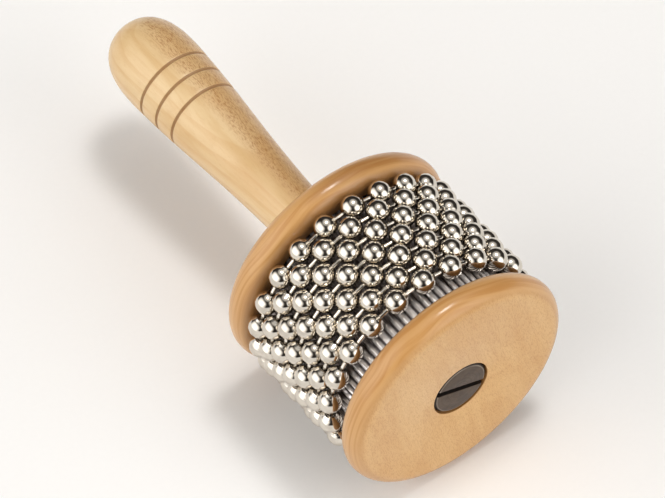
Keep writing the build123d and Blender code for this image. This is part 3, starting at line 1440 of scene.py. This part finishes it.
@dataclass
class Studio:
    """Floor, lamps, dim surroundings and the photograph's camera."""

    azimuth: float = -37.27
    elevation: float = 53.91
    distance: float = 1525.7 * MM
    face_right: float = 28.0 * MM
    face_down: float = 30.44 * MM
    lens: float = 378.9
    sensor: float = 36.0
    floor_size: float = 14.0
    glow_azimuth: float = 95.0
    glow_elevation: float = 78.0
    glow_edge: float = 0.74
    glow_colour: Colour = (1.0, 0.97, 0.93, 1.0)
    room: tuple[tuple[float, Colour], ...] = (
        (0.05, (0.85, 0.85, 0.85, 1.0)), (0.11, (0.035, 0.03, 0.028, 1.0)), (1.0, (0.06, 0.055, 0.05, 1.0)))

    def lamps(self) -> list[Softbox]:
        """Lists the studio's lamps."""
        return [
            Softbox("left_softbox", azimuth=-100.0, elevation=27.0, width=7.0, height=4.4, watts=219.0,
                    feather=0.42),
            Softbox("right_softbox", azimuth=20.0, elevation=24.0, width=3.4, height=3.8, watts=112.0,
                    feather=0.42),
            Softbox("top_dish", azimuth=self.glow_azimuth, elevation=self.glow_elevation, width=1.0, height=1.0,
                    watts=78.0, feather=0.48),
        ]

    def floor(self) -> None:
        """Lays the floor and gives it its paper."""
        Bench.clear()
        bpy.ops.mesh.primitive_plane_add(size=self.floor_size)
        piece = Bench.name("studio_floor")
        piece.data.materials.append(PaleFloor("studio_paper").make())

    def surroundings(self) -> None:
        """Makes the dim room, with a pale band above the floor and a glow on the ceiling round the top lamp."""
        world = bpy.data.worlds.new("studio")
        bpy.context.scene.world = world
        world.use_nodes = True
        tree = Tree(world.node_tree)
        place = tree.add("TexCoord").outputs["Generated"]
        ramp = tree.add("ValToRGB")
        stops = ramp.color_ramp.elements
        for k, (height, colour) in enumerate(self.room):
            stop = stops[k] if k < len(stops) else stops.new(height)
            stop.position, stop.color = height, colour
        tree.feed(ramp.inputs[0], tree.dot(place, (0, 0, 1)))
        glow = tree.step(tree.dot(place, towards(self.glow_azimuth, self.glow_elevation)), self.glow_edge, 1.0)
        colour = tree.lay(glow, ramp.outputs[0], self.glow_colour)
        tree.feed(tree.nodes["Background"].inputs["Color"], colour)

    def camera(self) -> None:
        """Sets up the camera where the photograph was taken from."""
        data = bpy.data.cameras.new("photo_camera")
        data.lens, data.sensor_width, data.sensor_fit = self.lens, self.sensor, "HORIZONTAL"
        turn = looking(-towards(self.azimuth, self.elevation))
        shift = turn @ Vector((-self.face_right, self.face_down, self.distance))
        bpy.context.scene.camera = hang(data, Vector((0, FRONT, AXIS_HEIGHT)) + shift, turn)

    def build(self) -> None:
        """Sets the whole studio up."""
        self.floor()
        self.surroundings()
        for lamp in self.lamps():
            lamp.light()
        self.camera()
        bpy.context.scene.view_settings.view_transform = "Standard"
        LOG.info("studio: %d lamps", len(self.lamps()))


def repaint(node: str, finish: Material) -> None:
    """Gives a CAD node that stays in the scene its finish.

    Args:
        node: Name of the node.
        finish: Its material.
    """
    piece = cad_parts[node]
    if not piece.material_slots:
        piece.data.materials.append(finish)
    for slot in piece.material_slots:
        slot.material = finish
    LOG.info("%s: CAD node kept, finish %s", node, finish.name)


def write_sizes() -> None:
    """Brings the view layer up to date."""
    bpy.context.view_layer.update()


def main() -> None:
    """Builds the instrument piece by piece and sets up the studio."""
    logging.basicConfig(level=logging.INFO, format="%(name)s: %(message)s")
    front_run = dict(grain=(-0.25, 0.0, 0.97), ray=(0.0, -1.0, 0.0))
    disc = dict(pith=60.0, ring_width=1.9, ring_depth=0.2, fleck_depth=0.26, amber_share=0.8,
                pale=srgb(223, 182, 124), tan=srgb(213, 168, 109))
    stick = dict(grain=(0.0, 1.0, 0.0), ray=(0.5, 0.0, 0.866), pith=30.0)
    front_wood = Beech("front_beech", **front_run, **disc).make()
    # The counterbore's walls are darkened brown: painted shade in the recess.
    counterbore_shade_wood = Beech("counterbore_beech", dark_share=0.6, **front_run, **disc).make()
    back_wood = Beech("back_beech", grain=(0.3, 0.0, 0.95), ray=(0.0, 1.0, 0.0), end_share=0.52, end_start=0.72,
                      end_grain=srgb(146, 94, 42), **disc).make()
    handle_wood = Beech("handle_beech", **stick).make()
    groove_wood = Beech("groove_beech", dark_share=0.62, lacquer=0.4, **stick).make()

    front = Flange("front_disc", "front_flange", start=0.0, outside=Facing.FRONT, bore=3.3 * MM,
                   counterbore=7.35 * MM, counterbore_depth=2.6 * MM)
    back = Flange("back_disc", "back_flange", start=41.0 * MM, outside=Facing.BACK, bore=5.6 * MM)
    front_disc = front.build()
    front.darken_brown(front_disc, front_wood, counterbore_shade_wood)
    dress(front_disc, front_wood, "lacquered_beech", BODY, front.node)
    dress(back.build(), back_wood, "lacquered_beech", BODY, back.node)

    handle = Handle()
    stem = handle.build()
    handle.darken_brown(stem, handle_wood, groove_wood)
    dress(stem, handle_wood, "lacquered_beech", BODY, handle.node)

    sleeve = Sleeve()
    sheet = RolledSteel("rolled_steel", sleeve.valley_radius, sleeve.crest_radius, at(sleeve.chains_start))
    dress(sleeve.build(), sheet.make(), "corrugated_steel", BODY, sleeve.node)

    screw = Screw()
    oxide = DarkScrew("dark_oxide", at(screw.head_recess), screw.head_radius - screw.chamfer).make()
    dress(screw.build(), oxide, "dark_screw", BODY, screw.node)

    # Dark nickel for the lips of the balls' holes: painted shade round the holes.
    mouth = Nickel("mouth_nickel", bright=srgb(112, 103, 94), hazy=srgb(88, 80, 73),
                   high_gloss=0.25, low_gloss=0.35)
    wire = Nickel("link_nickel", bright=srgb(238, 232, 222), hazy=srgb(224, 217, 206),
                  high_gloss=0.05, low_gloss=0.09)
    BallChains().build(Nickel("ball_nickel").make(), mouth.make(), wire.make())

    repaint("drum_core", Beech("plain_beech", lacquer=0.0, grain=(0.0, 1.0, 0.0), ray=(1.0, 0.0, 0.0)).make())
    repaint("threaded_insert", Brass("turned_brass").make())
    Studio().build()
    write_sizes()


if __name__ == "__main__":
    main()
